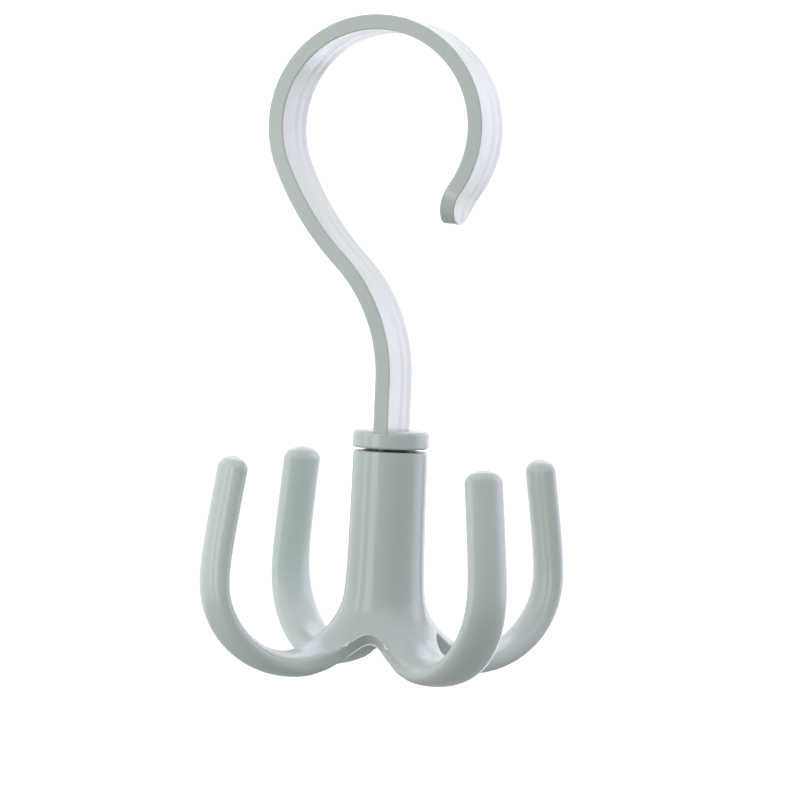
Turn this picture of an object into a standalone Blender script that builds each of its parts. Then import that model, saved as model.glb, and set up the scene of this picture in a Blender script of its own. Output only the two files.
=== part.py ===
"""Rotating four-claw hanger, in metres, +Z up along the swivel axis.

Two mouldings make the object. The hook is a flat ribbon bent into a question
mark, with a round flange at its foot and a split, barbed stem under the flange.
The claw body is a hollow post that flares into four J-shaped claws. The stem
passes down the post, its barbs spring out under a ledge in the post's foot, and
the claw body then turns freely on the stem.

Heights are measured up from the claws' lowest point. The parent empty at the
end moves both mouldings so that the origin is the rod's seat: the point of the
arch's inner face that lies over the swivel axis.
"""
import math

import bmesh
import bpy
from mathutils import Matrix, Vector

# Overall heights
OVERALL_HEIGHT = 0.140
FLANGE_TOP_HEIGHT = 0.0522

# The hook's ribbon: section, then what it follows from foot to tip. The straight
# stalk, the neck and the shoulder share the height between flange and eye
RIBBON_WIDTH = 0.0160
RIBBON_THICKNESS = 0.00322
RIBBON_EDGE_ROUND = 0.0005
STALK_SHARE = 0.194
NECK_SHARE = 0.449
NECK_TURN = math.radians(46.2)
SHOULDER_TURN = math.radians(22.8)
EYE_RADIUS = 0.0220
EYE_TURN = math.radians(239.0)
FLICK_RADIUS = 0.0145

# The flange and the stem under it
FLANGE_DIAMETER = 0.0164
FLANGE_THICKNESS = 0.00375
FLANGE_RIM_ROUND = 0.0008
STEM_DIAMETER = 0.0109
BARB_OVERHANG = 0.0008
BARB_LIP = 0.0009
BARB_NOSE_LENGTH = 0.0026
PRONG_LENGTH = 0.0140
PRONG_SLOT = 0.0016
PRONG_CORE_DIAMETER = 0.0056

# The post
POST_TOP_DIAMETER = 0.0159
POST_FOOT_DIAMETER = 0.0164
FLARE_HEIGHT = 0.0197
POST_RIM_CHAMFER = 0.0003
LEDGE_HEIGHT = 0.0125
FLANGE_CLEARANCE = 0.0006
RUNNING_CLEARANCE = 0.0003

# The claws
CLAW_COUNT = 4
CLAW_TURN = math.radians(47.9)
CLAW_TIP_HEIGHT = 0.0463
CLAW_LOWEST_RADIUS = 0.0213
CLAW_BEND_RADIUS = 0.0201
CLAW_LEG_LEAN = math.radians(8.7)
LEG_HALF_WIDTH = 0.00438
LEG_HALF_THICKNESS = 0.00282
FLOOR_HALF_WIDTH = 0.0060
FLOOR_HALF_THICKNESS = 0.0024
TIP_DOME_HEIGHT = 0.0029

# The hub: the post's foot flares like a bell, the claws grow out of its lower rim,
# and two crisp edges run round each crotch and out along the claws beside it
BELL_RADIUS = 0.0089
BELL_HEIGHT = 0.0153
CROTCH_RADIUS = 0.0109
CROTCH_HEIGHT = 0.01145
CROTCH_LIP_RADIUS = 0.0078
CROTCH_LIP_HEIGHT = 0.0092
HUB_CROWN_RADIUS = 0.0120
HUB_CROWN_HEIGHT = 0.0132
HUB_UNDER_RADIUS = 0.0095
HUB_UNDER_HEIGHT = 0.0080
HOLLOW_DIAMETER = 0.0136

# The claw's root between hub and floor. Each row is one section: its half width as
# a share of the floor's, then crown, upper edge, lower edge and underside as shares
# of the claw's lowest radius and of the hub's crown height
ROOT_SHARES = (
    (1.03, (0.706, 0.765), (0.638, 0.447), (0.629, 0.245), (0.609, 0.220)),
    (1.02, (0.870, 0.557), (0.846, 0.391), (0.851, 0.087), (0.837, -0.008)),
    (1.00, (1.044, 0.432), (1.044, 0.284), (1.044, 0.027), (1.044, -0.068)),
)

# The bend's sections: their distance from its centre as a share of the bend's radius,
# then their width and thickness as shares of the leg's. The belly hangs a little low
BEND_SHARES = ((1.004, 1.275, 0.945), (1.016, 1.180, 0.970), (1.015, 1.085, 0.965), (0.984, 1, 1))

# The tip's sections: how far under the top as a share of the dome, and their width
TIP_SHARES = ((1.72, 1), (1.10, 1), (0.52, 0.89), (0.14, 0.60), (-0.03, 0.24))

# Cutters run this far past what they cut
OVERRUN = 0.0020

# How finely things are divided, and angles
ROUND_STEPS = 48
CORNER_STEPS = 4
TONGUE_STEPS = 6
RIBBON_STEP = math.radians(9.0)
SHARP_ANGLE = math.radians(35.0)
BEVEL_ANGLE = math.radians(50.0)
SMOOTH_LEVELS = 2
OVAL_SHARES = (1, 0.5, -0.5, -1)
HALF_TURN = math.pi
FULL_TURN = 2 * math.pi
RING_POINTS = 2 * CLAW_COUNT
SECTION_POINTS = 6


def clear_scene():
    for old in list(bpy.data.objects):
        bpy.data.objects.remove(old, do_unlink=True)


def plastic(name):
    """Glossy moulded plastic in pale sage green."""
    material = bpy.data.materials.new(name)
    material.use_nodes = True
    shader = material.node_tree.nodes["Principled BSDF"]
    shader.inputs["Base Color"].default_value = (0.47, 0.55, 0.50, 1.0)
    shader.inputs["Roughness"].default_value = 0.22
    shader.inputs["Metallic"].default_value = 0.0
    return material


def finish_object(name, bm, material=None):
    bmesh.ops.recalc_face_normals(bm, faces=bm.faces[:])
    mesh = bpy.data.meshes.new(name)
    bm.to_mesh(mesh)
    bm.free()
    mesh.shade_smooth()
    mesh.set_sharp_from_angle(angle=SHARP_ANGLE)
    made = bpy.data.objects.new(name, mesh)
    bpy.context.scene.collection.objects.link(made)
    if material:
        mesh.materials.append(material)
    return made


def hide_tool(tool):
    tool.hide_render = True
    tool.display_type = "WIRE"
    return tool


def cut_or_join(target, tool, operation):
    step = target.modifiers.new(tool.name, "BOOLEAN")
    step.operation = operation
    step.object = tool
    step.solver = "EXACT"


def turned(name, profile):
    """A closed profile of (radius, height) points, turned round the Z axis."""
    bm = bmesh.new()
    verts = [bm.verts.new((radius, 0, height)) for radius, height in profile]
    edges = [bm.edges.new((a, b)) for a, b in zip(verts, verts[1:])]
    bmesh.ops.spin(
        bm, geom=verts + edges, cent=(0, 0, 0), axis=(0, 0, 1),
        angle=FULL_TURN, steps=ROUND_STEPS, use_merge=True,
    )
    smallest = min(STEM_DIAMETER, RUNNING_CLEARANCE) / ROUND_STEPS
    bmesh.ops.remove_doubles(bm, verts=bm.verts[:], dist=smallest)
    return finish_object(name, bm)


def arc_points(centre, radius, start, turn):
    """Points on an arc of the (radius, height) plane, both ends included."""
    angles = [start + turn * step / CORNER_STEPS for step in range(CORNER_STEPS + 1)]
    return [(centre[0] + radius * math.cos(a), centre[1] + radius * math.sin(a)) for a in angles]


class RibbonPath:
    """Walks the hook's middle line in the XZ plane, one straight or arc at a time."""

    def __init__(self, height):
        self.place = Vector((0, 0, height))
        self.heading = 0.0

    def ahead(self):
        return Vector((-math.sin(self.heading), 0, math.cos(self.heading)))

    def left(self):
        return Vector((-math.cos(self.heading), 0, -math.sin(self.heading)))

    def straight(self, bm, ring, length):
        made = bmesh.ops.extrude_edge_only(bm, edges=ring)["geom"]
        verts = [item for item in made if isinstance(item, bmesh.types.BMVert)]
        bmesh.ops.translate(bm, verts=verts, vec=self.ahead() * length)
        self.place += self.ahead() * length
        edges = [item for item in made if isinstance(item, bmesh.types.BMEdge)]
        return [edge for edge in edges if all(vert in verts for vert in edge.verts)]

    def bend(self, bm, ring, radius, turn):
        """A positive turn bends the ribbon to its left, a negative one to its right."""
        centre = self.place + self.left() * math.copysign(radius, turn)
        steps = math.ceil(abs(turn) / RIBBON_STEP)
        made = bmesh.ops.spin(
            bm, geom=ring, cent=centre, axis=(0, -1, 0),
            angle=turn, steps=steps, use_duplicate=False,
        )["geom_last"]
        self.place = centre + Matrix.Rotation(turn, 3, (0, -1, 0)) @ (self.place - centre)
        self.heading += turn
        return [item for item in made if isinstance(item, bmesh.types.BMEdge)]


def under_eye():
    """Height from the flange's top to where the eye's arc begins."""
    lean = NECK_TURN - SHOULDER_TURN
    arch = OVERALL_HEIGHT - RIBBON_THICKNESS / 2
    return arch - FLANGE_TOP_HEIGHT - EYE_RADIUS * (1 + math.sin(lean))


def neck_radius():
    return NECK_SHARE * under_eye() / math.sin(NECK_TURN)


def shoulder_radius():
    rise = (1 - STALK_SHARE - NECK_SHARE) * under_eye()
    return rise / (math.sin(NECK_TURN) - math.sin(NECK_TURN - SHOULDER_TURN))


def eye_centre():
    """Centre of the eye's arc, as (x, height)."""
    lean = NECK_TURN - SHOULDER_TURN
    neck = neck_radius() * (1 - math.cos(NECK_TURN))
    shoulder = shoulder_radius() * (math.cos(lean) - math.cos(NECK_TURN))
    across = -neck - shoulder + EYE_RADIUS * math.cos(lean)
    return across, OVERALL_HEIGHT - RIBBON_THICKNESS / 2 - EYE_RADIUS


def seat_height():
    """Height of the arch's inner face over the swivel axis."""
    across, height = eye_centre()
    inner = EYE_RADIUS - RIBBON_THICKNESS / 2
    return height + math.sqrt(inner ** 2 - across ** 2)


def ribbon_section(bm, height):
    half_width = RIBBON_WIDTH / 2
    half_thickness = RIBBON_THICKNESS / 2
    corners = [(-1, -1), (1, -1), (1, 1), (-1, 1)]
    verts = [bm.verts.new((x * half_thickness, y * half_width, height)) for x, y in corners]
    return [bm.edges.new((a, b)) for a, b in zip(verts, verts[1:] + verts[:1])]


def make_ribbon():
    bm = bmesh.new()
    foot = FLANGE_TOP_HEIGHT - FLANGE_THICKNESS / 2
    ring = ribbon_section(bm, foot)
    bmesh.ops.contextual_create(bm, geom=ring)
    path = RibbonPath(foot)
    ring = path.straight(bm, ring, FLANGE_THICKNESS / 2 + STALK_SHARE * under_eye())
    ring = path.bend(bm, ring, neck_radius(), NECK_TURN)
    ring = path.bend(bm, ring, shoulder_radius(), -SHOULDER_TURN)
    ring = path.bend(bm, ring, EYE_RADIUS, -EYE_TURN)
    half_width = RIBBON_WIDTH / 2
    reached = 0
    for step in range(1, TONGUE_STEPS):
        angle = HALF_TURN / 2 * step / TONGUE_STEPS
        along = half_width * math.sin(angle)
        ring = path.bend(bm, ring, FLICK_RADIUS, (along - reached) / FLICK_RADIUS)
        for vert in {vert for edge in ring for vert in edge.verts}:
            vert.co.y = math.copysign(half_width * math.cos(angle), vert.co.y)
        reached = along
    bmesh.ops.contextual_create(bm, geom=ring)
    ribbon = finish_object("hook", bm, plastic("hook_plastic"))
    bevel = ribbon.modifiers.new("edge_round", "BEVEL")
    bevel.width = RIBBON_EDGE_ROUND
    bevel.segments = 2
    bevel.limit_method = "ANGLE"
    bevel.angle_limit = BEVEL_ANGLE
    return ribbon


def stem_profile():
    """The flange and the stem, from the flange's top face to the stem's end."""
    top = FLANGE_TOP_HEIGHT
    bottom = top - FLANGE_THICKNESS
    rim = FLANGE_DIAMETER / 2
    core = rim - FLANGE_RIM_ROUND
    stem = STEM_DIAMETER / 2
    barb = stem + BARB_OVERHANG
    shoulder = LEDGE_HEIGHT - RUNNING_CLEARANCE
    lip = shoulder - BARB_LIP
    nose = stem - BARB_OVERHANG
    quarter = HALF_TURN / 2
    upper = arc_points((core, top - FLANGE_RIM_ROUND), FLANGE_RIM_ROUND, quarter, -quarter)
    lower = arc_points((core, bottom + FLANGE_RIM_ROUND), FLANGE_RIM_ROUND, 0, -quarter)
    profile = [(0, top)] + upper + lower
    profile += [(stem, bottom), (stem, shoulder), (barb, shoulder), (barb, lip)]
    profile += [(nose, lip - BARB_NOSE_LENGTH), (0, lip - BARB_NOSE_LENGTH)]
    return profile


def box_tool(name, size, centre):
    bm = bmesh.new()
    made = bmesh.ops.create_cube(bm, size=1)["verts"]
    bmesh.ops.scale(bm, verts=made, vec=size)
    bmesh.ops.translate(bm, verts=made, vec=centre)
    return hide_tool(finish_object(name, bm))


def make_hook():
    ribbon = make_ribbon()
    stem = hide_tool(turned("stem_blank", stem_profile()))
    end = LEDGE_HEIGHT - RUNNING_CLEARANCE - BARB_LIP - BARB_NOSE_LENGTH
    low = end - OVERRUN
    high = end + PRONG_LENGTH
    across = STEM_DIAMETER + 2 * BARB_OVERHANG + 2 * OVERRUN
    middle = (0, 0, (low + high) / 2)
    slot_x = box_tool("slot_x", (across, PRONG_SLOT, high - low), middle)
    slot_y = box_tool("slot_y", (PRONG_SLOT, across, high - low), middle)
    core_radius = PRONG_CORE_DIAMETER / 2
    core = [(0, high), (core_radius, high - core_radius), (core_radius, low), (0, low)]
    core_tool = hide_tool(turned("prong_core", core))
    cut_or_join(ribbon, stem, "UNION")
    for tool in (slot_x, slot_y, core_tool):
        cut_or_join(ribbon, tool, "DIFFERENCE")
    return ribbon, [stem, slot_x, slot_y, core_tool]


def smooth_share(count):
    """How far a closed ring of control points draws in under a smooth subdivision."""
    return (4 + 2 * math.cos(FULL_TURN / count)) / 6


def drawn_out(radius, count):
    return radius / smooth_share(count)


def polar(turn, radius, height):
    return Vector((radius * math.cos(turn), radius * math.sin(turn), height))


def claw_section(turn, half_width, crown, edge, under_edge, under):
    """Six control points of a section, from four (radius, height) places and a width.

    The crown is the middle of the upper row and the edge its ends; under and
    under_edge are the same for the lower row.
    """
    side = polar(turn + HALF_TURN / 2, half_width, 0)
    rows = ((edge, -1), (crown, 0), (edge, 1), (under_edge, 1), (under, 0), (under_edge, -1))
    return [polar(turn, *place) + side * across for place, across in rows]


def oval_section(turn, radius, height, travel, half_width, half_thickness):
    """An oval section square to the claw; travel is the way along it, up from outwards."""
    wide = drawn_out(half_width, SECTION_POINTS) * math.sin(HALF_TURN / 3)
    thick = drawn_out(half_thickness, SECTION_POINTS)
    places = []
    for share in OVAL_SHARES:
        along = radius - thick * share * math.sin(travel)
        places.append((along, height + thick * share * math.cos(travel)))
    return claw_section(turn, wide, *places)


def hub_section(turn):
    """The claw's share of the bell's rim: an eighth of a turn to each side of it."""
    left = turn - FULL_TURN / RING_POINTS
    right = turn + FULL_TURN / RING_POINTS
    return [
        polar(left, CROTCH_RADIUS, CROTCH_HEIGHT),
        polar(turn, HUB_CROWN_RADIUS, HUB_CROWN_HEIGHT),
        polar(right, CROTCH_RADIUS, CROTCH_HEIGHT),
        polar(right, CROTCH_LIP_RADIUS, CROTCH_LIP_HEIGHT),
        polar(turn, HUB_UNDER_RADIUS, HUB_UNDER_HEIGHT),
        polar(left, CROTCH_LIP_RADIUS, CROTCH_LIP_HEIGHT),
    ]


def root_sections(turn):
    sections = []
    for width, *places in ROOT_SHARES:
        places = [(r * CLAW_LOWEST_RADIUS, z * HUB_CROWN_HEIGHT) for r, z in places]
        sections.append(claw_section(turn, width * FLOOR_HALF_WIDTH, *places))
    return sections


def claw_sections(turn):
    """The sections of one claw, from the post's foot to the tip."""
    sections = [hub_section(turn)] + root_sections(turn)
    end = HALF_TURN / 2 + CLAW_LEG_LEAN
    steps = len(BEND_SHARES)
    bend = drawn_out(CLAW_BEND_RADIUS, FULL_TURN * steps / end)
    middle = FLOOR_HALF_THICKNESS + CLAW_BEND_RADIUS
    for step, (reach_share, width_share, thick_share) in enumerate(BEND_SHARES, 1):
        if step == steps:
            bend = (bend + CLAW_BEND_RADIUS) / 2
        angle = end * step / steps
        reach = bend * reach_share
        sections.append(oval_section(
            turn, CLAW_LOWEST_RADIUS + reach * math.sin(angle), middle - reach * math.cos(angle),
            angle, LEG_HALF_WIDTH * width_share, LEG_HALF_THICKNESS * thick_share))
    reach = CLAW_BEND_RADIUS * BEND_SHARES[-1][0]
    leg_radius = CLAW_LOWEST_RADIUS + reach * math.sin(end)
    leg_height = middle - reach * math.cos(end)
    for drop, share in TIP_SHARES:
        tip = CLAW_TIP_HEIGHT - drop * TIP_DOME_HEIGHT
        radius = leg_radius - (tip - leg_height) * math.tan(CLAW_LEG_LEAN)
        half_width = LEG_HALF_WIDTH * share
        thick = LEG_HALF_THICKNESS * share
        sections.append(oval_section(turn, radius, tip, end, half_width, thick))
    return sections


def new_items(made, kind):
    return [item for item in made["geom"] if isinstance(item, kind)]


def extrude_to(bm, faces, before, after):
    """Extrudes faces and moves each new vertex from its place in one list to the other."""
    made = bmesh.ops.extrude_face_region(bm, geom=faces)
    for vert in new_items(made, bmesh.types.BMVert):
        gaps = [(vert.co - place).length for place in before]
        vert.co = after[gaps.index(min(gaps))]
    bmesh.ops.delete(bm, geom=faces, context="FACES")
    return new_items(made, bmesh.types.BMFace)


def post_top():
    return FLANGE_TOP_HEIGHT - FLANGE_THICKNESS - FLANGE_CLEARANCE


def claw_turns():
    return [CLAW_TURN + FULL_TURN * number / CLAW_COUNT for number in range(CLAW_COUNT)]


def ring(radius, height):
    """Two places for each claw: the crotch before it, and its own middle."""
    places = []
    for turn in claw_turns():
        places.append(polar(turn - FULL_TURN / RING_POINTS, radius, height))
        places.append(polar(turn, radius, height))
    return places


def crease_line(bm, places):
    """Keeps the edges between successive places sharp when the cage is smoothed."""
    crease = bm.edges.layers.float.get("crease_edge") or bm.edges.layers.float.new("crease_edge")
    for ends in zip(places, places[1:]):
        nearest = min(bm.edges, key=lambda edge: sum(
            min((vert.co - place).length for vert in edge.verts) for place in ends))
        nearest[crease] = 1.0


def make_claw_cage():
    """The coarse cage of the claw body, with a solid post whose bore is cut later."""
    high = post_top() + 2 * OVERRUN
    foot = drawn_out(POST_FOOT_DIAMETER / 2, RING_POINTS)
    rim = drawn_out(POST_TOP_DIAMETER / 2, RING_POINTS)
    bell = drawn_out(BELL_RADIUS, RING_POINTS)
    hollow = drawn_out(HOLLOW_DIAMETER / 2, RING_POINTS)
    bore = (STEM_DIAMETER / 2 + RUNNING_CLEARANCE) / 2
    hubs = [hub_section(turn) for turn in claw_turns()]
    outer_hub = [place for hub in hubs for place in hub[:2]]
    inner_hub = [place for hub in hubs for place in (hub[5], hub[4])]
    outside = [ring(rim, high), ring(rim, post_top()), ring(foot, FLARE_HEIGHT)]
    outside += [ring(bell, BELL_HEIGHT), outer_hub]
    inside = [inner_hub, ring(hollow, LEDGE_HEIGHT), ring(bore, LEDGE_HEIGHT)]

    bm = bmesh.new()
    place = Matrix.Translation((0, 0, high)) @ Matrix.Rotation(CLAW_TURN, 4, "Z")
    bmesh.ops.create_circle(bm, cap_ends=True, segments=RING_POINTS, radius=rim, matrix=place)
    faces = bm.faces[:]
    for before, after in zip(outside, outside[1:]):
        faces = extrude_to(bm, faces, before, after)
    cap = [edge for edge in bm.edges if edge.is_boundary]
    bmesh.ops.contextual_create(bm, geom=cap)
    known = set(bm.faces)
    faces = extrude_to(bm, faces, outer_hub, inner_hub)
    roots = [face for face in bm.faces if face not in known and face not in faces]
    ceiling = extrude_to(bm, faces, inner_hub, inside[1])
    extrude_to(bm, ceiling, inside[1], inside[2])
    crease_line(bm, inside[1] + inside[1][:1])
    for turn in claw_turns():
        middle = polar(turn, 1, 0)
        near = sorted(roots, key=lambda face: -face.calc_center_median().normalized().dot(middle))
        claw = near[:2]
        roots = near[2:]
        sections = claw_sections(turn)
        for before, after in zip(sections, sections[1:]):
            claw = extrude_to(bm, claw, before, after)
        upper = sections[: len(ROOT_SHARES) + 1]
        lower = upper[:-1]
        for crisp, points in ((upper, (0, 2)), (lower, (3, 5))):
            for point in points:
                crease_line(bm, [section[point] for section in crisp])
    return bm


def make_claws():
    bm = make_claw_cage()
    claws = finish_object("claws", bm, plastic("claw_plastic"))
    smooth = claws.modifiers.new("smooth", "SUBSURF")
    smooth.levels = SMOOTH_LEVELS
    smooth.render_levels = SMOOTH_LEVELS
    top = post_top()
    bore = STEM_DIAMETER / 2 + RUNNING_CLEARANCE
    rim = POST_TOP_DIAMETER / 2
    beyond = OVERRUN + POST_RIM_CHAMFER
    profile = [
        (0, top + 3 * OVERRUN),
        (rim + OVERRUN, top + 3 * OVERRUN),
        (rim + OVERRUN, top - beyond),
        (rim - POST_RIM_CHAMFER, top),
        (bore + POST_RIM_CHAMFER, top),
        (bore, top - POST_RIM_CHAMFER),
        (bore, CROTCH_LIP_HEIGHT),
        (0, CROTCH_LIP_HEIGHT),
    ]
    bore_tool = hide_tool(turned("bore", profile))
    cut_or_join(claws, bore_tool, "DIFFERENCE")
    return claws, [bore_tool]


def main():
    clear_scene()
    hook, hook_tools = make_hook()
    claws, claw_tools = make_claws()
    seat = bpy.data.objects.new("rod_seat", None)
    bpy.context.scene.collection.objects.link(seat)
    seat.location = (0, 0, -seat_height())
    for piece in [hook, claws] + hook_tools + claw_tools:
        piece.parent = seat
    print("neck and shoulder radii", round(neck_radius(), 5), round(shoulder_radius(), 5))
    print("rod seat over the foot", round(seat_height(), 5))


main()
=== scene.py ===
# %% [markdown]
# # A rotating four-claw hanger
# The real thing is two plastic mouldings in one pale sage green. A flat ribbon is
# bent into a hook and ends in a round flange. Under the flange a hollow post
# spreads into four upturned claws, and the post turns freely on the hook's stem.
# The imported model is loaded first: it fixes where each moulding sits and how it moves.

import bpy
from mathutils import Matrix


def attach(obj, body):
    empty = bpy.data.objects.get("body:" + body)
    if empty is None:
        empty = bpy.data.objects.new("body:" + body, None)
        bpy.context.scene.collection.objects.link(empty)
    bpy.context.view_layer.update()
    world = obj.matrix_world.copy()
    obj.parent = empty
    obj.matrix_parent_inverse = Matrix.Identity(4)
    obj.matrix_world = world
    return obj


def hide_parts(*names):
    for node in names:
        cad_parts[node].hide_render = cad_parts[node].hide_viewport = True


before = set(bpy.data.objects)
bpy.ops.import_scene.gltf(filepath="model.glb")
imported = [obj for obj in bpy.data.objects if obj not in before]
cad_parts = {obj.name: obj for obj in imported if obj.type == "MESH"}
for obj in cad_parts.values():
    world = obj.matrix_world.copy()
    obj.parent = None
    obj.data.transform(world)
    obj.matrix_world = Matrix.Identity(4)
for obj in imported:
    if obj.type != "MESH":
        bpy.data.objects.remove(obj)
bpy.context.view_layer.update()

# %% Blender's modules, and a view that shows colours as they are
import math

import bmesh
import bpy
from mathutils import Matrix, Vector

scene = bpy.context.scene
scene.view_settings.view_transform = "Standard"
print("view transform", scene.view_settings.view_transform)

# %% [markdown]
# ## Heights
# The model's origin is the place on the arch where the rail rests. All heights
# below are easier to read from the claws' lowest point, so each one is turned into
# the model's own height by taking the rail seat's height away.

# %% Heights above the claws' lowest point
OVERALL_HEIGHT = 0.140
RIBBON_THICKNESS = 0.00322
EYE_RADIUS = 0.0220
EYE_ACROSS = -0.00417
FLANGE_TOP = 0.0522
FLANGE_THICKNESS = 0.00375
FLANGE_GAP = 0.0006
POST_TOP = FLANGE_TOP - FLANGE_THICKNESS - FLANGE_GAP

eye_height = OVERALL_HEIGHT - RIBBON_THICKNESS / 2 - EYE_RADIUS
inner_eye = EYE_RADIUS - RIBBON_THICKNESS / 2
SEAT_HEIGHT = eye_height + math.sqrt(inner_eye ** 2 - EYE_ACROSS ** 2)
print("rail seat", round(SEAT_HEIGHT, 5), "above the claws' foot")

# %% [markdown]
# ## Camera
# The photograph was taken from a little above the claws, 17 degrees round from where
# the hook shows only its narrow side, with a long lens: the far claws are hardly
# smaller than the near ones. The camera also leans by 2.5 degrees, so the hanger
# seems to lean.

# %% Camera
CAMERA_AZIMUTH = math.radians(17.16)
CAMERA_RISE = math.radians(2.325)
CAMERA_ROLL = math.radians(2.486)
CAMERA_DISTANCE = 0.9216
CAMERA_LENS, SENSOR_WIDTH = 194.6, 36.0
# The middle of the picture, to the right of and above a point low on the swivel's axis.
AIM = Vector((0.00402, 0.05756))
AIM_FOOT = 0.00099

side = Vector((math.cos(CAMERA_AZIMUTH), math.sin(CAMERA_AZIMUTH), 0))
back = Vector((
    math.sin(CAMERA_AZIMUTH) * math.cos(CAMERA_RISE),
    -math.cos(CAMERA_AZIMUTH) * math.cos(CAMERA_RISE),
    math.sin(CAMERA_RISE),
))
lift = back.cross(side)
right = side * math.cos(CAMERA_ROLL) + lift * math.sin(CAMERA_ROLL)
up = lift * math.cos(CAMERA_ROLL) - side * math.sin(CAMERA_ROLL)
place = right * AIM.x + up * AIM.y + back * CAMERA_DISTANCE
place.z += AIM_FOOT - SEAT_HEIGHT

camera_data = bpy.data.cameras.new("camera")
camera_data.lens = CAMERA_LENS
camera_data.sensor_width = SENSOR_WIDTH
camera = bpy.data.objects.new("camera", camera_data)
scene.collection.objects.link(camera)
camera.matrix_world = Matrix.Translation(place) @ Matrix((right, up, back)).transposed().to_4x4()
scene.camera = camera
print("camera at", [round(value, 3) for value in place])

# %% [markdown]
# ## Surroundings
# The hanger hangs in a bright white studio. A world that is greyer on the camera's
# side and white behind the hanger gives the glossy plastic something white to mirror
# at its rims. The floor lies well below and fades into the white, so its soft grey
# is what the undersides see and no horizon shows.

# %% World
SKY_TINT = (0.99, 0.99, 1.0, 1.0)
ROOM_GREY, BACKDROP_WHITE = 0.66, 1.4
GLOW_START, GLOW_END = -0.7, 0.75


def ranged(tree, value, low, high, new_low, new_high, easing="LINEAR"):
    """Turns the range low to high of a value into another one, and stops at its ends."""
    node = tree.nodes.new("ShaderNodeMapRange")
    node.interpolation_type = easing
    for name, number in (
            ("From Min", low), ("From Max", high), ("To Min", new_low), ("To Max", new_high)):
        node.inputs[name].default_value = number
    tree.links.new(value, node.inputs["Value"])
    return node.outputs["Result"]


world = bpy.data.worlds.new("white_studio")
world.use_nodes = True
tree = world.node_tree
sky = tree.nodes["Background"]
sky.inputs["Color"].default_value = SKY_TINT
coords = tree.nodes.new("ShaderNodeTexCoord")
behind = tree.nodes.new("ShaderNodeVectorMath")
behind.operation = "DOT_PRODUCT"
behind.inputs[1].default_value = -back
tree.links.new(coords.outputs["Generated"], behind.inputs[0])
glow = ranged(
    tree, behind.outputs["Value"], GLOW_START, GLOW_END, ROOM_GREY, BACKDROP_WHITE, "SMOOTHSTEP")
tree.links.new(glow, sky.inputs["Strength"])
scene.world = world
print("world from", ROOM_GREY, "to", BACKDROP_WHITE)

# %% Floor
FLOOR_DROP = 0.24
FLOOR_RADIUS = 1.1
FLOOR_STEPS = 96

bm = bmesh.new()
bmesh.ops.create_circle(bm, cap_ends=True, segments=FLOOR_STEPS, radius=FLOOR_RADIUS)
bmesh.ops.translate(bm, verts=bm.verts[:], vec=(0, 0, -SEAT_HEIGHT - FLOOR_DROP))
floor_mesh = bpy.data.meshes.new("floor")
bm.to_mesh(floor_mesh)
bm.free()
floor = bpy.data.objects.new("floor", floor_mesh)
scene.collection.objects.link(floor)
print("floor lies", FLOOR_DROP, "m under the claws")

# %% Floor finish, fading out towards its rim
PAPER_GREY = (0.32, 0.335, 0.32, 1.0)
PAPER_ROUGHNESS = 0.9
FADE_START = 0.4

paper = bpy.data.materials.new("floor_paper")
paper.use_nodes = True
tree = paper.node_tree
shader = tree.nodes["Principled BSDF"]
shader.inputs["Base Color"].default_value = PAPER_GREY
shader.inputs["Roughness"].default_value = PAPER_ROUGHNESS
coords = tree.nodes.new("ShaderNodeTexCoord")
flat = tree.nodes.new("ShaderNodeVectorMath")
flat.operation = "MULTIPLY"
flat.inputs[1].default_value = (1 / FLOOR_RADIUS, 1 / FLOOR_RADIUS, 0)
away = tree.nodes.new("ShaderNodeVectorMath")
away.operation = "LENGTH"
clear = tree.nodes.new("ShaderNodeBsdfTransparent")
mix = tree.nodes.new("ShaderNodeMixShader")
tree.links.new(coords.outputs["Object"], flat.inputs[0])
tree.links.new(flat.outputs[0], away.inputs[0])
fade = ranged(tree, away.outputs["Value"], FADE_START, 1, 0, 1, "SMOOTHERSTEP")
tree.links.new(fade, mix.inputs[0])
tree.links.new(shader.outputs[0], mix.inputs[1])
tree.links.new(clear.outputs[0], mix.inputs[2])
tree.links.new(mix.outputs[0], tree.nodes["Material Output"].inputs["Surface"])
floor_mesh.materials.append(paper)
print("floor fades from", FADE_START, "of its radius")

# %% [markdown]
# ## Lights
# The photograph has strong, faintly lavender light from the right and the right
# rear, which turns the ribbon's broad side almost white. Three tall strips at the
# left draw the streaks down the post and the claws. Softer lamps stand overhead, high
# behind and high in front, and a low one behind lights the arch's inner face. All
# are area lights, and the camera doesn't see them: it sees the white behind them.

# %% Lights
LIGHT_AIM = Vector((0, 0, -0.08))
LIGHT_DISTANCE = 0.8


def soft_light(name, azimuth, rise, size, colour, watts):
    """Azimuth is degrees round from the camera, positive to its right."""
    turn = CAMERA_AZIMUTH - math.pi / 2 + math.radians(azimuth)
    tilt = math.radians(rise)
    way = Vector((
        math.cos(turn) * math.cos(tilt), math.sin(turn) * math.cos(tilt), math.sin(tilt)))
    data = bpy.data.lights.new(name, "AREA")
    data.shape = "RECTANGLE"
    data.size, data.size_y = size
    data.color = colour
    data.energy = watts
    lamp = bpy.data.objects.new(name, data)
    scene.collection.objects.link(lamp)
    lamp.location = LIGHT_AIM + way * LIGHT_DISTANCE
    lamp.rotation_euler = way.to_track_quat("Z", "Y").to_euler()
    lamp.visible_camera = False


WHITE = (1.0, 1.0, 1.0)
LAVENDER = (0.81, 0.74, 1.0)
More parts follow.
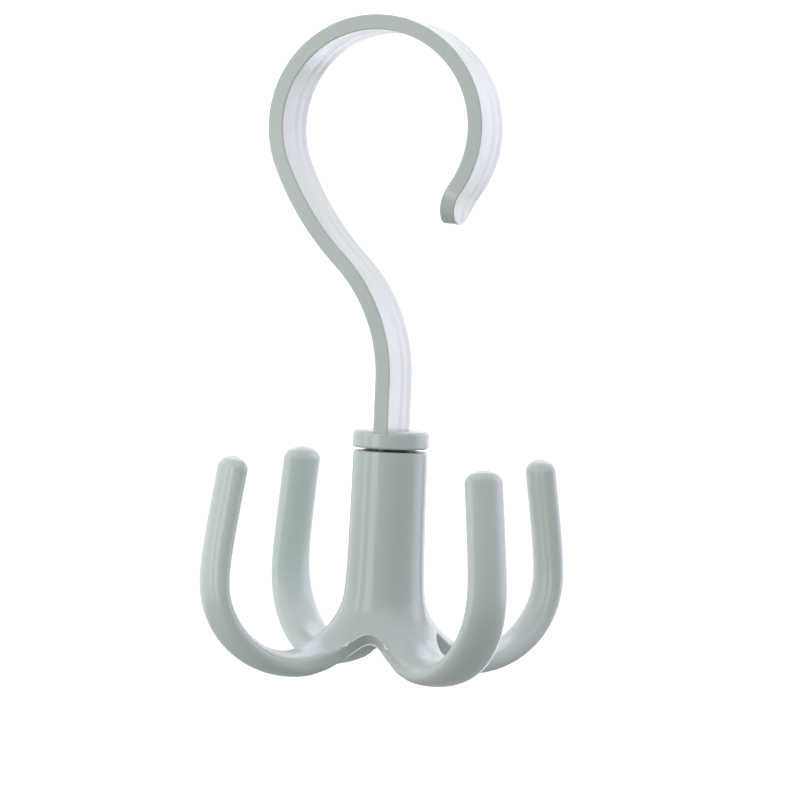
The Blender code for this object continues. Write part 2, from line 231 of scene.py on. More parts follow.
# Name, azimuth, rise, width and height in metres, colour, watts.
LIGHTS = (
    ("right_window", 100, 12, (0.50, 0.70), LAVENDER, 2.25),
    ("right_rear", 140, 10, (0.40, 0.70), (0.87, 0.75, 1.0), 0.82),
    ("left_strip", -79.5, 5, (0.12, 0.90), (0.94, 0.84, 1.0), 1.1),
    ("left_front_strip", -52, 5, (0.17, 0.90), WHITE, 1.45),
    ("near_strip", -41, 5, (0.04, 0.90), (0.95, 1.0, 0.85), 0.95),
    ("overhead", 0, 80, (0.60, 0.60), (0.92, 0.58, 1.0), 1.0),
    ("rear_low", 170, -17, (0.36, 0.20), LAVENDER, 0.40),
    ("rear_top", 180, 50, (0.60, 0.40), (0.81, 0.70, 1.0), 1.5),
    ("front_top", -10, 45, (0.60, 0.40), (0.92, 0.88, 1.0), 0.6),
)
for light in LIGHTS:
    soft_light(*light)

# %% [markdown]
# ## Plastic
# Both mouldings are glossy polypropylene. Close up such a surface isn't perfect:
# the colour drifts a little where the melt flowed, the gloss varies in soft patches
# and the skin has a fine orange peel. Noise on Object coordinates gives all three,
# so the pattern stays on the piece. The flash and its beads are the same plastic
# painted in paler tones, a painted highlight for the light that gets through where it is thin.

# %% Tones and grain
SAGE = (0.365, 0.424, 0.394, 1.0), (0.385, 0.446, 0.414, 1.0)
CLAW_SAGE = (0.378, 0.440, 0.412, 1.0), (0.398, 0.462, 0.432, 1.0)
# Painted highlight: the flash is painted far paler than the body.
FLASH_HIGHLIGHT_SAGE = (0.72, 0.77, 0.75, 1.0), (0.80, 0.84, 0.82, 1.0)
# Painted highlight: the beads are painted paler than the body.
BEAD_HIGHLIGHT_SAGE = (0.50, 0.56, 0.53, 1.0), (0.58, 0.64, 0.61, 1.0)
PLASTIC_IOR = 1.49
DRIFT_SCALE, DRIFT_DETAIL = 70, 3
PATCH_SCALE, PATCH_DETAIL = 260, 4
PEEL_SCALE, PEEL_DETAIL, PEEL_DEPTH = 900, 2, 0.0001
NOISE_LOW, NOISE_HIGH = 0.3, 0.7
GLOSSIEST, DULLEST = 0.20, 0.265
HOOK_GRAIN, CLAW_GRAIN, STEM_GRAIN = (1.0, 0.35, 0.6), (1.0, 1.0, 0.25), (1.0, 1.0, 0.6)
HOOK_PEEL, CLAW_PEEL = 0.06, 0.12


def noise(tree, coords, scale, detail, stretch=(1, 1, 1)):
    """Noise of a given scale per metre, stretched along the axes."""
    mapping = tree.nodes.new("ShaderNodeMapping")
    mapping.inputs["Scale"].default_value = stretch
    pattern = tree.nodes.new("ShaderNodeTexNoise")
    pattern.inputs["Scale"].default_value = scale
    pattern.inputs["Detail"].default_value = detail
    tree.links.new(coords.outputs["Object"], mapping.inputs["Vector"])
    tree.links.new(mapping.outputs["Vector"], pattern.inputs["Vector"])
    return pattern.outputs["Fac"]


print("sage from", SAGE[0][:3], "to", SAGE[1][:3])


# %% Plastic
def sage_plastic(name, grain=(1, 1, 1), tones=SAGE, peel=CLAW_PEEL):
    """Glossy sage plastic; grain is the way the melt flowed, as a stretch of the noise."""
    material = bpy.data.materials.new(name)
    material.use_nodes = True
    tree = material.node_tree
    shader = tree.nodes["Principled BSDF"]
    shader.inputs["IOR"].default_value = PLASTIC_IOR
    coords = tree.nodes.new("ShaderNodeTexCoord")

    flow = noise(tree, coords, DRIFT_SCALE, DRIFT_DETAIL, grain)
    drift = ranged(tree, flow, NOISE_LOW, NOISE_HIGH, 0, 1)
    tone = tree.nodes.new("ShaderNodeMix")
    tone.data_type = "RGBA"
    tone.inputs["A"].default_value, tone.inputs["B"].default_value = tones
    tree.links.new(drift, tone.inputs["Factor"])
    tree.links.new(tone.outputs["Result"], shader.inputs["Base Color"])

    patches = noise(tree, coords, PATCH_SCALE, PATCH_DETAIL)
    gloss = ranged(tree, patches, NOISE_LOW, NOISE_HIGH, GLOSSIEST, DULLEST)
    tree.links.new(gloss, shader.inputs["Roughness"])

    skin = tree.nodes.new("ShaderNodeBump")
    skin.inputs["Strength"].default_value = peel
    skin.inputs["Distance"].default_value = PEEL_DEPTH
    tree.links.new(noise(tree, coords, PEEL_SCALE, PEEL_DETAIL), skin.inputs["Height"])
    tree.links.new(skin.outputs["Normal"], shader.inputs["Normal"])
    return material


hook_plastic = sage_plastic("hook_plastic", HOOK_GRAIN, peel=HOOK_PEEL)
claw_plastic = sage_plastic("claw_plastic", CLAW_GRAIN, CLAW_SAGE)
# Pale plastic with a painted highlight, for the flash.
flash_highlight_plastic = sage_plastic("flash_highlight_plastic", tones=FLASH_HIGHLIGHT_SAGE)
# Pale plastic with a painted highlight, for the beads.
bead_plastic = sage_plastic("bead_plastic", tones=BEAD_HIGHLIGHT_SAGE)
stem_plastic = sage_plastic("stem_plastic", STEM_GRAIN)
print("materials", [material.name for material in bpy.data.materials])

# %% [markdown]
# ### Plastic that changes with its place
# Painted shade darkens the stem in the slit under the flange. Painted shade also
# darkens the post and hub, so the colour lightens from the post outwards, and the
# rear-left claw is painted a little paler as painted light. Each change follows the
# Object coordinates: height, distance from the swivel's axis, or distance along the rear-left claw's
# way.

# %% Shade by place
# Painted shade: the stem turns nearly black in the slit under the flange.
SLIT_SHADE = (0.030, 0.036, 0.034, 1.0)
SLIT_SHADE_FADE = 0.0010
# Painted shade: the post and hub are darker than the claws further out.
SHADED_POST_SAGE = (0.354, 0.416, 0.388, 1.0)
POST_SHADE_RADIUS, SHADE_END_RADIUS = 0.010, 0.022
# Painted light: the rear-left claw is painted paler, as if more light fell on it.
LIT_CLAW_SAGE = (0.440, 0.512, 0.480, 1.0)
# The rear-left claw's way round the axis, and how far out along it the change runs.
LIT_CLAW_TURN = math.radians(137.9)
LIT_CLAW_START, LIT_CLAW_END = 0.028, 0.035


def shade_by(material, value, low, high, colour):
    """Turns a plastic's colour into another one where a value goes from low to high."""
    tree = material.node_tree
    base = tree.nodes["Principled BSDF"].inputs["Base Color"]
    shade = tree.nodes.new("ShaderNodeMix")
    shade.data_type = "RGBA"
    shade.inputs["B"].default_value = colour
    tree.links.new(base.links[0].from_socket, shade.inputs["A"])
    tree.links.new(ranged(tree, value, low, high, 0, 1), shade.inputs["Factor"])
    tree.links.new(shade.outputs["Result"], base)


def object_part(tree, kind, flatten=(1, 1, 1)):
    """A node that measures the Object coordinates, once they are flattened."""
    coords = tree.nodes.new("ShaderNodeTexCoord")
    mapping = tree.nodes.new("ShaderNodeMapping")
    mapping.inputs["Scale"].default_value = flatten
    part = tree.nodes.new(kind)
    tree.links.new(coords.outputs["Object"], mapping.inputs["Vector"])
    tree.links.new(mapping.outputs["Vector"], part.inputs[0])
    return part


stem_height = object_part(stem_plastic.node_tree, "ShaderNodeSeparateXYZ").outputs["Z"]
slit = POST_TOP - SEAT_HEIGHT
# Painted shade on the stem, darkest in the slit.
shade_by(stem_plastic, stem_height, slit - SLIT_SHADE_FADE, slit, SLIT_SHADE)
reach = object_part(claw_plastic.node_tree, "ShaderNodeVectorMath", (1, 1, 0))
reach.operation = "LENGTH"
# Painted shade on the post and hub, fading out along the claws.
shade_by(claw_plastic, reach.outputs["Value"], SHADE_END_RADIUS, POST_SHADE_RADIUS, SHADED_POST_SAGE)
toward = object_part(claw_plastic.node_tree, "ShaderNodeVectorMath")
toward.operation = "DOT_PRODUCT"
toward.inputs[1].default_value = (math.cos(LIT_CLAW_TURN), math.sin(LIT_CLAW_TURN), 0)
# Painted light on the rear-left claw.
shade_by(claw_plastic, toward.outputs["Value"], LIT_CLAW_START, LIT_CLAW_END, LIT_CLAW_SAGE)
print("the claws lighten from", POST_SHADE_RADIUS, "m to", SHADE_END_RADIUS, "m off the axis")

# %% [markdown]
# ## Making a piece
# Every piece is finished the same way: its faces are turned outwards, it gets its
# plastic, it rides on its moulding's body and it stands for that moulding's node.
# Its place is in its mesh, so the object itself stays at the origin.


def lower_to_seat(bm):
    bmesh.ops.translate(bm, verts=bm.verts[:], vec=(0, 0, -SEAT_HEIGHT))


def finish_piece(name, bm, material, body, node):
    bmesh.ops.recalc_face_normals(bm, faces=bm.faces[:])
    lower_to_seat(bm)
    mesh = bpy.data.meshes.new(name)
    bm.to_mesh(mesh)
    bm.free()
    mesh.shade_smooth()
    mesh.materials.append(material)
    piece = bpy.data.objects.new(name, mesh)
    scene.collection.objects.link(piece)
    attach(piece, body)
    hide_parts(node)
    print(name, len(mesh.polygons), "faces")
    return piece


# %% [markdown]
# ## The ribbon's path
# The ribbon starts inside the flange, rises straight, bends left through the neck,
# comes back through the shoulder, runs round the eye and flicks out at the tip.
# After the straight foot each stretch is an arc with its own radius, and they meet
# without a kink, so the path is a list of lengths and radii. A positive radius bends
# to the left.

# %% The path
RIBBON_WIDTH = 0.0163
RIBBON_ROUND = 0.00025
TONGUE = RIBBON_WIDTH / 2
STALK_LENGTH = 0.01076
NECK_RADIUS, NECK_TURN = 0.0345, math.radians(46.2)
SHOULDER_RADIUS, SHOULDER_TURN = 0.0609, math.radians(22.8)
EYE_TURN = math.radians(237.5)
FLICK_RADIUS = 0.0145

FOOT_DEPTH = 0.0011
ribbon_foot = FLANGE_TOP - FOOT_DEPTH
PATH = [
    (FLANGE_TOP - ribbon_foot + STALK_LENGTH, None),
    (NECK_RADIUS * NECK_TURN, NECK_RADIUS),
    (SHOULDER_RADIUS * SHOULDER_TURN, -SHOULDER_RADIUS),
    (EYE_RADIUS * EYE_TURN, -EYE_RADIUS),
    (TONGUE, FLICK_RADIUS),
]
ribbon_length = sum(length for length, radius in PATH)
print("ribbon unrolled", round(ribbon_length, 4), "m")


# %% Where a point of the flat strip goes on the bent ribbon
def on_path(along, across, out):
    """Along the strip, across its width, and out from its middle towards the left."""
    x, z, heading = 0.0, ribbon_foot, 0.0
    for length, radius in PATH:
        step = min(along, length) if (length, radius) != PATH[-1] else along
        if radius is None:
            z += step
        else:
            centre_x = x - math.cos(heading) * radius
            centre_z = z - math.sin(heading) * radius
            heading += step / radius
            x = centre_x + math.cos(heading) * radius
            z = centre_z + math.sin(heading) * radius
        along -= step
        if along <= 0:
            break
    return Vector((x - math.cos(heading) * out, across, z - math.sin(heading) * out))


print("tip at", [round(value, 4) for value in on_path(ribbon_length, 0, 0)])

# %% [markdown]
# ## The ribbon
# The ribbon is cut flat first, like sheet: a long box whose far end is rounded into
# a tongue by bevelling its two upright edges to the full half width. A second bevel
# rounds the rims. A narrow inset beside each rounded rim holds the broad faces flat,
# so that they mirror like flat plastic, and two hairlines run along both of them.
# Then the strip is sliced across every millimetre and bent along the path.

# %% The flat strip
HOLD = 0.00012
NEAR, TIGHT = HOLD / 10, HOLD / 100
TONGUE_SHARE = 0.975
TONGUE_SEGMENTS, RIM_SEGMENTS = 14, 5
FLAT_ENOUGH = 0.999

bm = bmesh.new()
bmesh.ops.create_cube(bm, size=1)
bmesh.ops.scale(bm, verts=bm.verts[:], vec=(ribbon_length, RIBBON_WIDTH, RIBBON_THICKNESS))
bmesh.ops.translate(bm, verts=bm.verts[:], vec=(ribbon_length / 2, 0, 0))


def is_far(vert):
    return vert.co.x > ribbon_length - RIBBON_WIDTH


upright = [edge for edge in bm.edges
           if all(is_far(vert) for vert in edge.verts)
           and abs(edge.verts[0].co.y - edge.verts[1].co.y) < HOLD]
bmesh.ops.bevel(
    bm, geom=upright, offset=RIBBON_WIDTH / 2 * TONGUE_SHARE, offset_type="OFFSET",
    affect="EDGES", segments=TONGUE_SEGMENTS, profile=0.5, material=-1)
print("tongue edges", len(bm.edges))


# %% Rounded rims and holding loops
def slice_through(bm, place, normal):
    bmesh.ops.bisect_plane(
        bm, geom=bm.verts[:] + bm.edges[:] + bm.faces[:], dist=TIGHT,
        plane_co=place, plane_no=normal)


rims = [edge for edge in bm.edges
        if abs(edge.verts[0].co.z - edge.verts[1].co.z) < HOLD
        and sum(vert.co.x for vert in edge.verts) > HOLD]
bmesh.ops.bevel(
    bm, geom=rims, offset=RIBBON_ROUND, offset_type="OFFSET",
    affect="EDGES", segments=RIM_SEGMENTS, profile=0.5, material=-1)
broad = [face for face in bm.faces if abs(face.normal.z) > FLAT_ENOUGH]
bmesh.ops.inset_individual(bm, faces=broad, thickness=HOLD, use_even_offset=True)
flat_side = RIBBON_THICKNESS / 2 - RIBBON_ROUND - HOLD
for height in (-flat_side, flat_side):
    slice_through(bm, (0, 0, height), (0, 0, 1))
print("strip faces", len(bm.faces))

# %% Two hairlines along both broad faces
HAIRLINES = (0.0, 0.0046)
HAIR_WIDTH, HAIR_DEPTH = 0.00025, 0.00003

for middle in HAIRLINES:
    for across in (middle - HAIR_WIDTH, middle, middle + HAIR_WIDTH):
        slice_through(bm, (0, across, 0), (0, 1, 0))
for vert in bm.verts:
    if min(abs(vert.co.y - middle) for middle in HAIRLINES) < NEAR:
        if abs(vert.co.z) > RIBBON_THICKNESS / 2 - NEAR:
            vert.co.z -= math.copysign(HAIR_DEPTH, vert.co.z)
print("strip faces", len(bm.faces))

# %% Slice across and bend, with a foot just slim enough to go into the flange
SLICE = 0.0010
FOOT_TAPER, FOOT_TAPER_LENGTH = 0.016, 0.0030

for number in range(1, int(ribbon_length / SLICE)):
    slice_through(bm, (number * SLICE, 0, 0), (1, 0, 0))
for vert in bm.verts:
    vert.co.y *= 1 - FOOT_TAPER * max(0, 1 - vert.co.x / FOOT_TAPER_LENGTH)
    vert.co = on_path(*vert.co)
finish_piece("hook_ribbon", bm, hook_plastic, "hanging_hook", "hook")

# %% [markdown]
# ## Flange and stem
# The flange is a thick washer with a well-rounded rim, moulded in one with the
# ribbon. The stem under it is mostly hidden in the post: it is split crosswise into
# four prongs whose barbs snap out under the post's ledge. Each of the two is one
# turned profile, and three cutters split and hollow the stem.

# %% Turned profiles
ROUND_STEPS = 96
RIM_STEPS, FOOT_STEPS = 7, 5
FLANGE_RADIUS = 0.0082
FLANGE_ROUND = 0.0010
FLANGE_FOOT_ROUND = 0.0005
STEM_RADIUS = 0.00545
LEDGE_HEIGHT = 0.0125


def arc(centre, radius, start, turn, steps):
    """Points of an arc; start and turn are in degrees."""
    angles = [math.radians(start + turn * step / steps) for step in range(steps + 1)]
    return [(centre[0] + radius * math.cos(angle), centre[1] + radius * math.sin(angle))
            for angle in angles]


def turned(profile, steps=ROUND_STEPS):
    """Spins an open profile that starts and ends on the axis."""
    bm = bmesh.new()
    verts = [bm.verts.new((radius, 0, height)) for radius, height in profile]
    edges = [bm.edges.new(pair) for pair in zip(verts, verts[1:])]
    bmesh.ops.spin(
        bm, geom=verts + edges, cent=(0, 0, 0), axis=(0, 0, 1),
        angle=2 * math.pi, steps=steps, use_merge=True)
    bmesh.ops.remove_doubles(bm, verts=bm.verts[:], dist=TIGHT)
    return bm


print("turned in", ROUND_STEPS, "steps")

# %% The flange
flange_foot = FLANGE_TOP - FLANGE_THICKNESS
top_core = FLANGE_RADIUS - FLANGE_ROUND
foot_core = FLANGE_RADIUS - FLANGE_FOOT_ROUND
profile = [(0, FLANGE_TOP), (top_core - HOLD, FLANGE_TOP)]
profile += arc((top_core, FLANGE_TOP - FLANGE_ROUND), FLANGE_ROUND, 90, -90, RIM_STEPS)
profile += [(FLANGE_RADIUS, FLANGE_TOP - FLANGE_ROUND - HOLD),
            (FLANGE_RADIUS, flange_foot + FLANGE_FOOT_ROUND + HOLD)]
profile += arc(
    (foot_core, flange_foot + FLANGE_FOOT_ROUND), FLANGE_FOOT_ROUND, 0, -90, FOOT_STEPS)
profile += [(foot_core - HOLD, flange_foot), (0, flange_foot)]
finish_piece("hook_flange", turned(profile), hook_plastic, "hanging_hook", "hook")

# %% The stem, before it is split
BARB_REACH, BARB_PLAY, BARB_THICKNESS = 0.0008, 0.0003, 0.0009
NOSE_LENGTH = 0.0026
SHARP_ANGLE = math.radians(30)

shoulder = LEDGE_HEIGHT - BARB_PLAY
barb_foot = shoulder - BARB_THICKNESS
nose = barb_foot - NOSE_LENGTH
stem_profile = [
    (0, flange_foot + FLANGE_ROUND), (STEM_RADIUS, flange_foot + FLANGE_ROUND),
    (STEM_RADIUS, shoulder), (STEM_RADIUS + BARB_REACH, shoulder),
    (STEM_RADIUS + BARB_REACH, barb_foot), (STEM_RADIUS - BARB_REACH, nose), (0, nose)]
stem = finish_piece("swivel_stem", turned(stem_profile), stem_plastic, "hanging_hook", "hook")
stem.data.set_sharp_from_angle(angle=SHARP_ANGLE)

# %% Cutters: a cross-shaped slot and a hollow core
SLOT = 0.0016
PRONG_LENGTH = 0.0140
CUTTER_WIDTH, CUTTER_OVERRUN = 0.02, 0.004
CORE_RADIUS, CORE_OVERRUN, CORE_STEPS = 0.0028, 0.002, 48


def settle(piece):
    """Makes what a piece's modifiers give its own mesh."""
    bpy.context.view_layer.update()
    solved = piece.evaluated_get(bpy.context.evaluated_depsgraph_get())
    fresh = bpy.data.meshes.new_from_object(solved)
    piece.modifiers.clear()
    old, piece.data = piece.data, fresh
    bpy.data.meshes.remove(old)
    fresh.name = piece.name


def cut_away(piece, bm):
    """Cuts one closed shape out of a piece and keeps only the result."""
    bmesh.ops.recalc_face_normals(bm, faces=bm.faces[:])
    lower_to_seat(bm)
    mesh = bpy.data.meshes.new("cutter")
    bm.to_mesh(mesh)
    bm.free()
    cutter = bpy.data.objects.new("cutter", mesh)
    scene.collection.objects.link(cutter)
    step = piece.modifiers.new("cut", "BOOLEAN")
    step.operation = "DIFFERENCE"
    step.solver = "EXACT"
    step.object = cutter
    settle(piece)
    bpy.data.objects.remove(cutter)


prong_top = nose + PRONG_LENGTH
slot_length = PRONG_LENGTH + CUTTER_OVERRUN
for size in ((CUTTER_WIDTH, SLOT, slot_length), (SLOT, CUTTER_WIDTH, slot_length)):
    bm = bmesh.new()
    bmesh.ops.create_cube(bm, size=1)
    bmesh.ops.scale(bm, verts=bm.verts[:], vec=size)
    bmesh.ops.translate(bm, verts=bm.verts[:], vec=(0, 0, prong_top - slot_length / 2))
    cut_away(stem, bm)
core_foot = nose - CORE_OVERRUN
cut_away(stem, turned([
    (0, prong_top), (CORE_RADIUS, prong_top - CORE_RADIUS), (CORE_RADIUS, core_foot),
    (0, core_foot)], CORE_STEPS))
print("stem faces", len(stem.data.polygons))

# %% [markdown]
# ## The claw body
# Post, hub and claws are one flowing moulding, so they are one coarse cage under a
# Subdivision Surface. The cage has eight points round: one at each claw and one at
# each crotch between two claws. A smoothed ring draws in, by a share that depends
# on its number of points, and drawn_out() makes up for that.

# %% Sizes of the claw body
CLAW_COUNT = 4
CLAW_TURN = math.radians(47.9)
RUNNING_CLEARANCE = 0.0003
BORE = STEM_RADIUS + RUNNING_CLEARANCE
POST_RADIUS_TOP = 0.00795
POST_CHAMFER = 0.0003
HOLLOW_RADIUS = 0.0068
# From here on a pair is a radius and a height.
FLARE = (0.0082, 0.0197)
BELL = (0.0089, 0.0153)
CROTCH, CROTCH_LIP = (0.0109, 0.01145), (0.0078, 0.0092)
CROWN, CROWN_UNDER = (0.0120, 0.0132), (0.0095, 0.0080)


def drawn_out(radius, points):
    """The radius of a cage ring whose smoothed ring has the wanted radius."""
    return radius * 6 / (4 + 2 * math.cos(2 * math.pi / points))


def polar(turn, radius, height):
    return Vector((radius * math.cos(turn), radius * math.sin(turn), height))


claw_turns = [CLAW_TURN + math.pi / 2 * number for number in range(CLAW_COUNT)]
eighth = math.pi / CLAW_COUNT
print("ring draws in to", round(1 / drawn_out(1, 2 * CLAW_COUNT), 4))

# %% [markdown]
# ### Sections of a claw
# A claw is extruded through sections of six points: three over, three under. The
# first is the claw's share of the hub, three more shape its root, and the rest
# follow a circle up into the leg, getting narrower. The last ones round the tip.

# %% Sections
LOWEST_RADIUS, BEND_RADIUS = 0.0213, 0.0201
LEG_LEAN = math.radians(8.7)
TIP_HEIGHT = 0.0466
LEG_HALF = (0.00438, 0.00282)
FLOOR_HALF = 0.0024
SECTION_POINTS = 6
OVAL_SHARES = (1, 0.5, -0.5, -1)
# Depth under the tip, and the section's size as a share of the leg's.
TIP_SECTIONS = ((0.0044, 1), (0.0024, 1), (0.00096, 0.786), (0.00019, 0.137))
# Reach as a share of the circle's radius, then width and thickness as shares of the leg's.
BEND_SHARES = ((1.004, 1.275, 0.945), (1.016, 1.180, 0.970), (1.015, 1.085, 0.965), (0.984, 1, 1))
# Half width, then crown, upper edge, lower edge and underside.
ROOTS = (
    (0.00618, (0.01504, 0.01010), (0.01359, 0.00590), (0.01340, 0.00323), (0.01297, 0.00290)),
    (0.00612, (0.01853, 0.00735), (0.01802, 0.00516), (0.01812, 0.00115), (0.01783, -0.0001)),
    (0.00600, (0.02224, 0.00570), (0.02224, 0.00375), (0.02224, 0.00035), (0.02224, -0.0009)),
)


def claw_section(turn, half_width, crown, edge, under_edge, under):
    """Six points from left to right over the claw, and back under it."""
    across = polar(turn + math.pi / 2, half_width, 0)
    rows = ((edge, -1), (crown, 0), (edge, 1), (under_edge, 1), (under, 0), (under_edge, -1))
    return [polar(turn, *place) + across * share for place, share in rows]


def oval_section(turn, radius, height, travel, half_width, half_thickness):
    """A section across a claw that runs in the direction travel, level at 0."""
    wide = drawn_out(half_width, SECTION_POINTS) * math.sin(2 * math.pi / SECTION_POINTS)
    thick = drawn_out(half_thickness, SECTION_POINTS)
    places = [
        (radius - thick * share * math.sin(travel), height + thick * share * math.cos(travel))
        for share in OVAL_SHARES]
    return claw_section(turn, wide, *places)


def hub_section(turn):
    """The claw's share of the hub, from one crotch to the next."""
    left, right = turn - eighth, turn + eighth
    return [
        polar(left, *CROTCH), polar(turn, *CROWN), polar(right, *CROTCH),
        polar(right, *CROTCH_LIP), polar(turn, *CROWN_UNDER), polar(left, *CROTCH_LIP)]


print("root sections", len(ROOTS))


# %% The bend, the leg and the tip
def mixed(start, end, share):
    return start + (end - start) * share


def claw_sections(turn):
    sections = [hub_section(turn)] + [claw_section(turn, *root) for root in ROOTS]
    end = math.pi / 2 + LEG_LEAN
    middle = FLOOR_HALF + BEND_RADIUS
    steps = len(BEND_SHARES)
    bend = drawn_out(BEND_RADIUS, 2 * math.pi * steps / end)
    for number, (reach_share, width_share, thick_share) in enumerate(BEND_SHARES, 1):
        angle = end * number / steps
        reach = (bend if number < steps else (bend + BEND_RADIUS) / 2) * reach_share
        sections.append(oval_section(
            turn, LOWEST_RADIUS + reach * math.sin(angle), middle - reach * math.cos(angle),
            angle, LEG_HALF[0] * width_share, LEG_HALF[1] * thick_share))
    reach = BEND_RADIUS * BEND_SHARES[-1][0]
    leg_radius = LOWEST_RADIUS + reach * math.sin(end)
    leg_height = middle - reach * math.cos(end)
    for drop, share in TIP_SECTIONS:
        tip = TIP_HEIGHT - drop
        radius = leg_radius - (tip - leg_height) * math.tan(LEG_LEAN)
        sections.append(oval_section(
            turn, radius, tip, end, LEG_HALF[0] * share, LEG_HALF[1] * share))
    return sections


print("sections in a claw", len(claw_sections(CLAW_TURN)))

# %% [markdown]
# ### Post and hub
# One circle of eight edges starts at the inner rim of the ledge. It is extruded up
# the bore, over the post's chamfered top, down outside, out over the bell and back
# under the hub to the ledge. Two loops close together make each crisp corner.


# %% Rings of the post
def ring_places(radius, height):
    places = []
    for turn in claw_turns:
        places += [polar(turn - eighth, radius, height), polar(turn, radius, height)]
    return places


def round_ring(radius, height):
    return ring_places(drawn_out(radius, 2 * CLAW_COUNT), height)


hubs = [hub_section(turn) for turn in claw_turns]
outer_hub = [place for hub in hubs for place in hub[:2]]
inner_hub = [place for hub in hubs for place in (hub[5], hub[4])]
POST_RINGS = [round_ring(*place) for place in (
    (BORE, LEDGE_HEIGHT), (BORE, LEDGE_HEIGHT + HOLD), (BORE, POST_TOP - POST_CHAMFER),
    (BORE + POST_CHAMFER, POST_TOP), (BORE + POST_CHAMFER + HOLD, POST_TOP),
    (POST_RADIUS_TOP - POST_CHAMFER - HOLD, POST_TOP), (POST_RADIUS_TOP - POST_CHAMFER, POST_TOP),
    (POST_RADIUS_TOP, POST_TOP - POST_CHAMFER), (POST_RADIUS_TOP, POST_TOP - POST_CHAMFER - HOLD),
    FLARE, BELL)]
POST_RINGS.append(outer_hub)
UNDER_RINGS = [inner_hub] + [round_ring(*place) for place in (
    (HOLLOW_RADIUS, LEDGE_HEIGHT - HOLD), (HOLLOW_RADIUS - HOLD, LEDGE_HEIGHT))]
print("rings", len(POST_RINGS) + len(UNDER_RINGS))


# %% Extrude ring by ring
def moved(verts, before, after):
    """Moves each vertex from its place in one list to the same place in the other."""
    for vert in verts:
        gaps = [(vert.co - place).length for place in before]
        vert.co = after[gaps.index(min(gaps))]


def extrude_ring(bm, edges, before, after):
    made = bmesh.ops.extrude_edge_only(bm, edges=edges)["geom"]
    moved([item for item in made if isinstance(item, bmesh.types.BMVert)], before, after)
    return [item for item in made
            if isinstance(item, bmesh.types.BMEdge) and item.is_boundary]


def extrude_faces(bm, faces, before, after):
    made = bmesh.ops.extrude_face_region(bm, geom=faces)["geom"]
    moved([item for item in made if isinstance(item, bmesh.types.BMVert)], before, after)
    bmesh.ops.delete(bm, geom=faces, context="FACES")
    return [item for item in made if isinstance(item, bmesh.types.BMFace)]


bm = bmesh.new()
bmesh.ops.create_circle(
    bm, segments=2 * CLAW_COUNT, radius=drawn_out(BORE, 2 * CLAW_COUNT),
    matrix=Matrix.Translation((0, 0, LEDGE_HEIGHT)) @ Matrix.Rotation(CLAW_TURN, 4, "Z"))
loop = bm.edges[:]
for before, after in zip(POST_RINGS, POST_RINGS[1:]):
    loop = extrude_ring(bm, loop, before, after)
known = set(bm.faces)
loop = extrude_ring(bm, loop, outer_hub, inner_hub)
roots = [face for face in bm.faces if face not in known]
for before, after in zip(UNDER_RINGS, UNDER_RINGS[1:] + POST_RINGS[:1]):
    loop = extrude_ring(bm, loop, before, after)
bmesh.ops.remove_doubles(bm, verts=bm.verts[:], dist=NEAR)
print("post cage", len(bm.faces), "faces,", len(roots), "for the claws")

# %% [markdown]
# ### Claws
# Each claw grows from the two hub faces on its side. A crisp upper edge and a crisp
# lower lip round each crotch and run out along the claws. Those edges are creased, so
# smoothing keeps them crisp, and the creases fade out along the claw. One more
# creased ring under each tip gives it its round dome.

# %% Extrude the claws
UPPER_CREASES = (0.60, 0.55, 0.40)
LIP_CREASES = (0.52, 0.42, 0.28, 0.14)
DOME_CREASE = 0.40
crease = bm.edges.layers.float.new("crease_edge")


def crease_line(bm, places, strengths):
    for ends, strength in zip(zip(places, places[1:]), strengths):
        nearest = min(bm.edges, key=lambda edge: sum(
            min((vert.co - place).length for vert in edge.verts) for place in ends))
        nearest[crease] = strength


for turn in claw_turns:
    roots.sort(key=lambda face: -face.calc_center_median().normalized().dot(polar(turn, 1, 0)))
    claw, roots = roots[:2], roots[2:]
    sections = claw_sections(turn)
    for before, after in zip(sections, sections[1:]):
        claw = extrude_faces(bm, claw, before, after)
    for point in (0, 2):
        crease_line(bm, [section[point] for section in sections], UPPER_CREASES)
    for point in (3, 5):
        crease_line(bm, [section[point] for section in sections], LIP_CREASES)
    dome = sections[1 - len(TIP_SECTIONS)]
    crease_line(bm, dome + dome[:1], [DOME_CREASE] * len(dome))
claws = finish_piece("four_claw_post", bm, claw_plastic, "claw_body", "claws")

# %% Smooth the claw body
SMOOTH_LEVELS = 4
smooth = claws.modifiers.new("smooth", "SUBSURF")
smooth.levels = SMOOTH_LEVELS
smooth.render_levels = SMOOTH_LEVELS
settle(claws)
print("smoothed", SMOOTH_LEVELS, "times to", len(claws.data.polygons), "faces")

# %% [markdown]
# ## Moulding flash
# Where the mould's halves meet, a little plastic creeps out. Under each crotch it
# leaves a fine ridge along the lower lip, which shows as a painted bright line, and a
# finer one along a stretch of the upper edge. On the front crotch two small wavy beads
# sit on the upper edge too. All are painted paler than the body, as painted highlight.
# Each is a thin tube: a circle of eight edges, moved along its path by extrusion and tapered at both
# ends.

# %% Flash paths
RIDGE_RADIUS, RIDGE_STEPS = 0.00020, 28
BEAD_RADIUS, BEAD_STEPS = 0.00030, 12
BEAD_SPAN = (0.245, 0.325)
BEAD_WAVE = 0.00018
WAVES = 1.5
FRONT_CROTCH = 2
LINE_RADIUS = 0.00009
LINE_SPAN = (0.32, 0.52)
TUBE_SIDES = 8
END_SHARE = 0.3


def spline_point(points, share):
    """A point on the cubic B-spline that smoothing gives a creased chain of edges."""
    spot = share * (len(points) - 3)
    first = min(int(spot), len(points) - 4)
    t = spot - first
    weights = ((1 - t) ** 3, 3 * t ** 3 - 6 * t * t + 4, -3 * t ** 3 + 3 * t * t + 3 * t + 1, t ** 3)
    return sum((point * weight for point, weight in zip(points[first:], weights)), Vector()) / 6


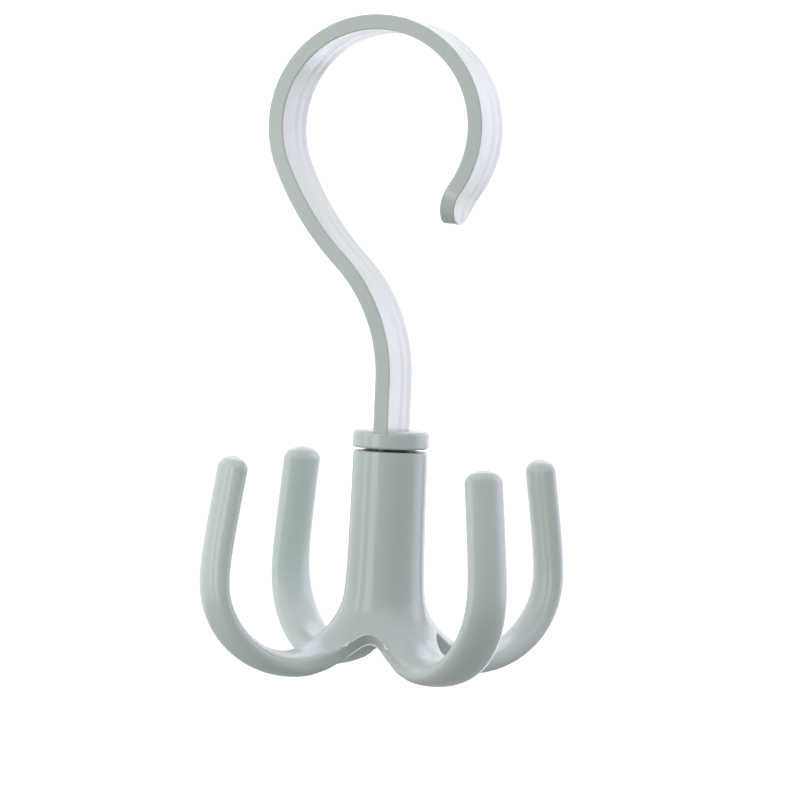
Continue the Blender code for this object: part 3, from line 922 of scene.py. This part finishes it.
def edge_path(points, start, end, steps, proud, wave=0.0):
    """Places on the smoothed claw body beside an edge, each pushed out of it a little."""
    seat = Vector((0, 0, SEAT_HEIGHT))
    path = []
    for step in range(steps + 1):
        share = step / steps
        spot = spline_point(points, mixed(start, end, share))
        spot.z += wave * math.sin(2 * math.pi * WAVES * share)
        place, normal = claws.closest_point_on_mesh(spot - seat)[1:3]
        outwards = Vector((place.x, place.y, 0)).normalized()
        path.append(place + (normal + outwards).normalized() * proud + seat)
    return path


print("paths lie on", claws.name)


# %% Tubes along the paths
def tube_along(bm, path, radius):
    """A thin closed tube along a path, tapered at both ends."""
    last = len(path) - 1
    faces, before = [], None
    for number, spot in enumerate(path):
        way = path[min(number + 1, last)] - path[max(number - 1, 0)]
        taper = math.sin(math.pi * (number + END_SHARE) / (last + 2 * END_SHARE)) ** 0.5
        spin = way.to_track_quat("Z", "X").to_matrix().to_4x4()
        after = Matrix.Translation(spot) @ spin @ Matrix.Diagonal((taper, taper, 1, 1))
        if before is None:
            made = bmesh.ops.create_circle(
                bm, cap_ends=True, segments=TUBE_SIDES, radius=radius, matrix=after)["verts"]
            faces = list(set(made[0].link_faces))
        else:
            made = bmesh.ops.extrude_face_region(bm, geom=faces)["geom"]
            verts = [item for item in made if isinstance(item, bmesh.types.BMVert)]
            bmesh.ops.transform(bm, matrix=after @ before.inverted(), verts=verts)
            if number > 1:
                bmesh.ops.delete(bm, geom=faces, context="FACES")
            faces = [item for item in made if isinstance(item, bmesh.types.BMFace)]
        before = after


def crotch_lines(turn):
    """The control points of the lower lip and of the upper edge round one crotch."""
    near, far = claw_sections(turn), claw_sections(turn + math.pi / 2)
    lip = [near[2][3], near[1][3], near[0][3], far[1][5], far[2][5]]
    edge = [near[3][2], near[2][2], near[1][2], near[0][2], far[1][0], far[2][0], far[3][0]]
    return lip, edge


bm = bmesh.new()
for turn in claw_turns:
    lip, edge = crotch_lines(turn)
    tube_along(bm, edge_path(lip, 0, 1, RIDGE_STEPS, RIDGE_RADIUS / 2), RIDGE_RADIUS)
    tube_along(bm, edge_path(edge, *LINE_SPAN, RIDGE_STEPS, 0), LINE_RADIUS)
# The flash ridges carry a painted highlight in their pale plastic.
finish_piece("parting_flash", bm, flash_highlight_plastic, "claw_body", "claws")

# %% Two beads on the front crotch
bm = bmesh.new()
edge = crotch_lines(claw_turns[FRONT_CROTCH])[1]
for start, end in (BEAD_SPAN, (1 - BEAD_SPAN[0], 1 - BEAD_SPAN[1])):
    path = edge_path(edge, start, end, BEAD_STEPS, BEAD_RADIUS / 3, BEAD_WAVE)
    tube_along(bm, path, BEAD_RADIUS)
# The beads carry a painted highlight in their pale plastic.
finish_piece("flash_beads", bm, bead_plastic, "claw_body", "claws")
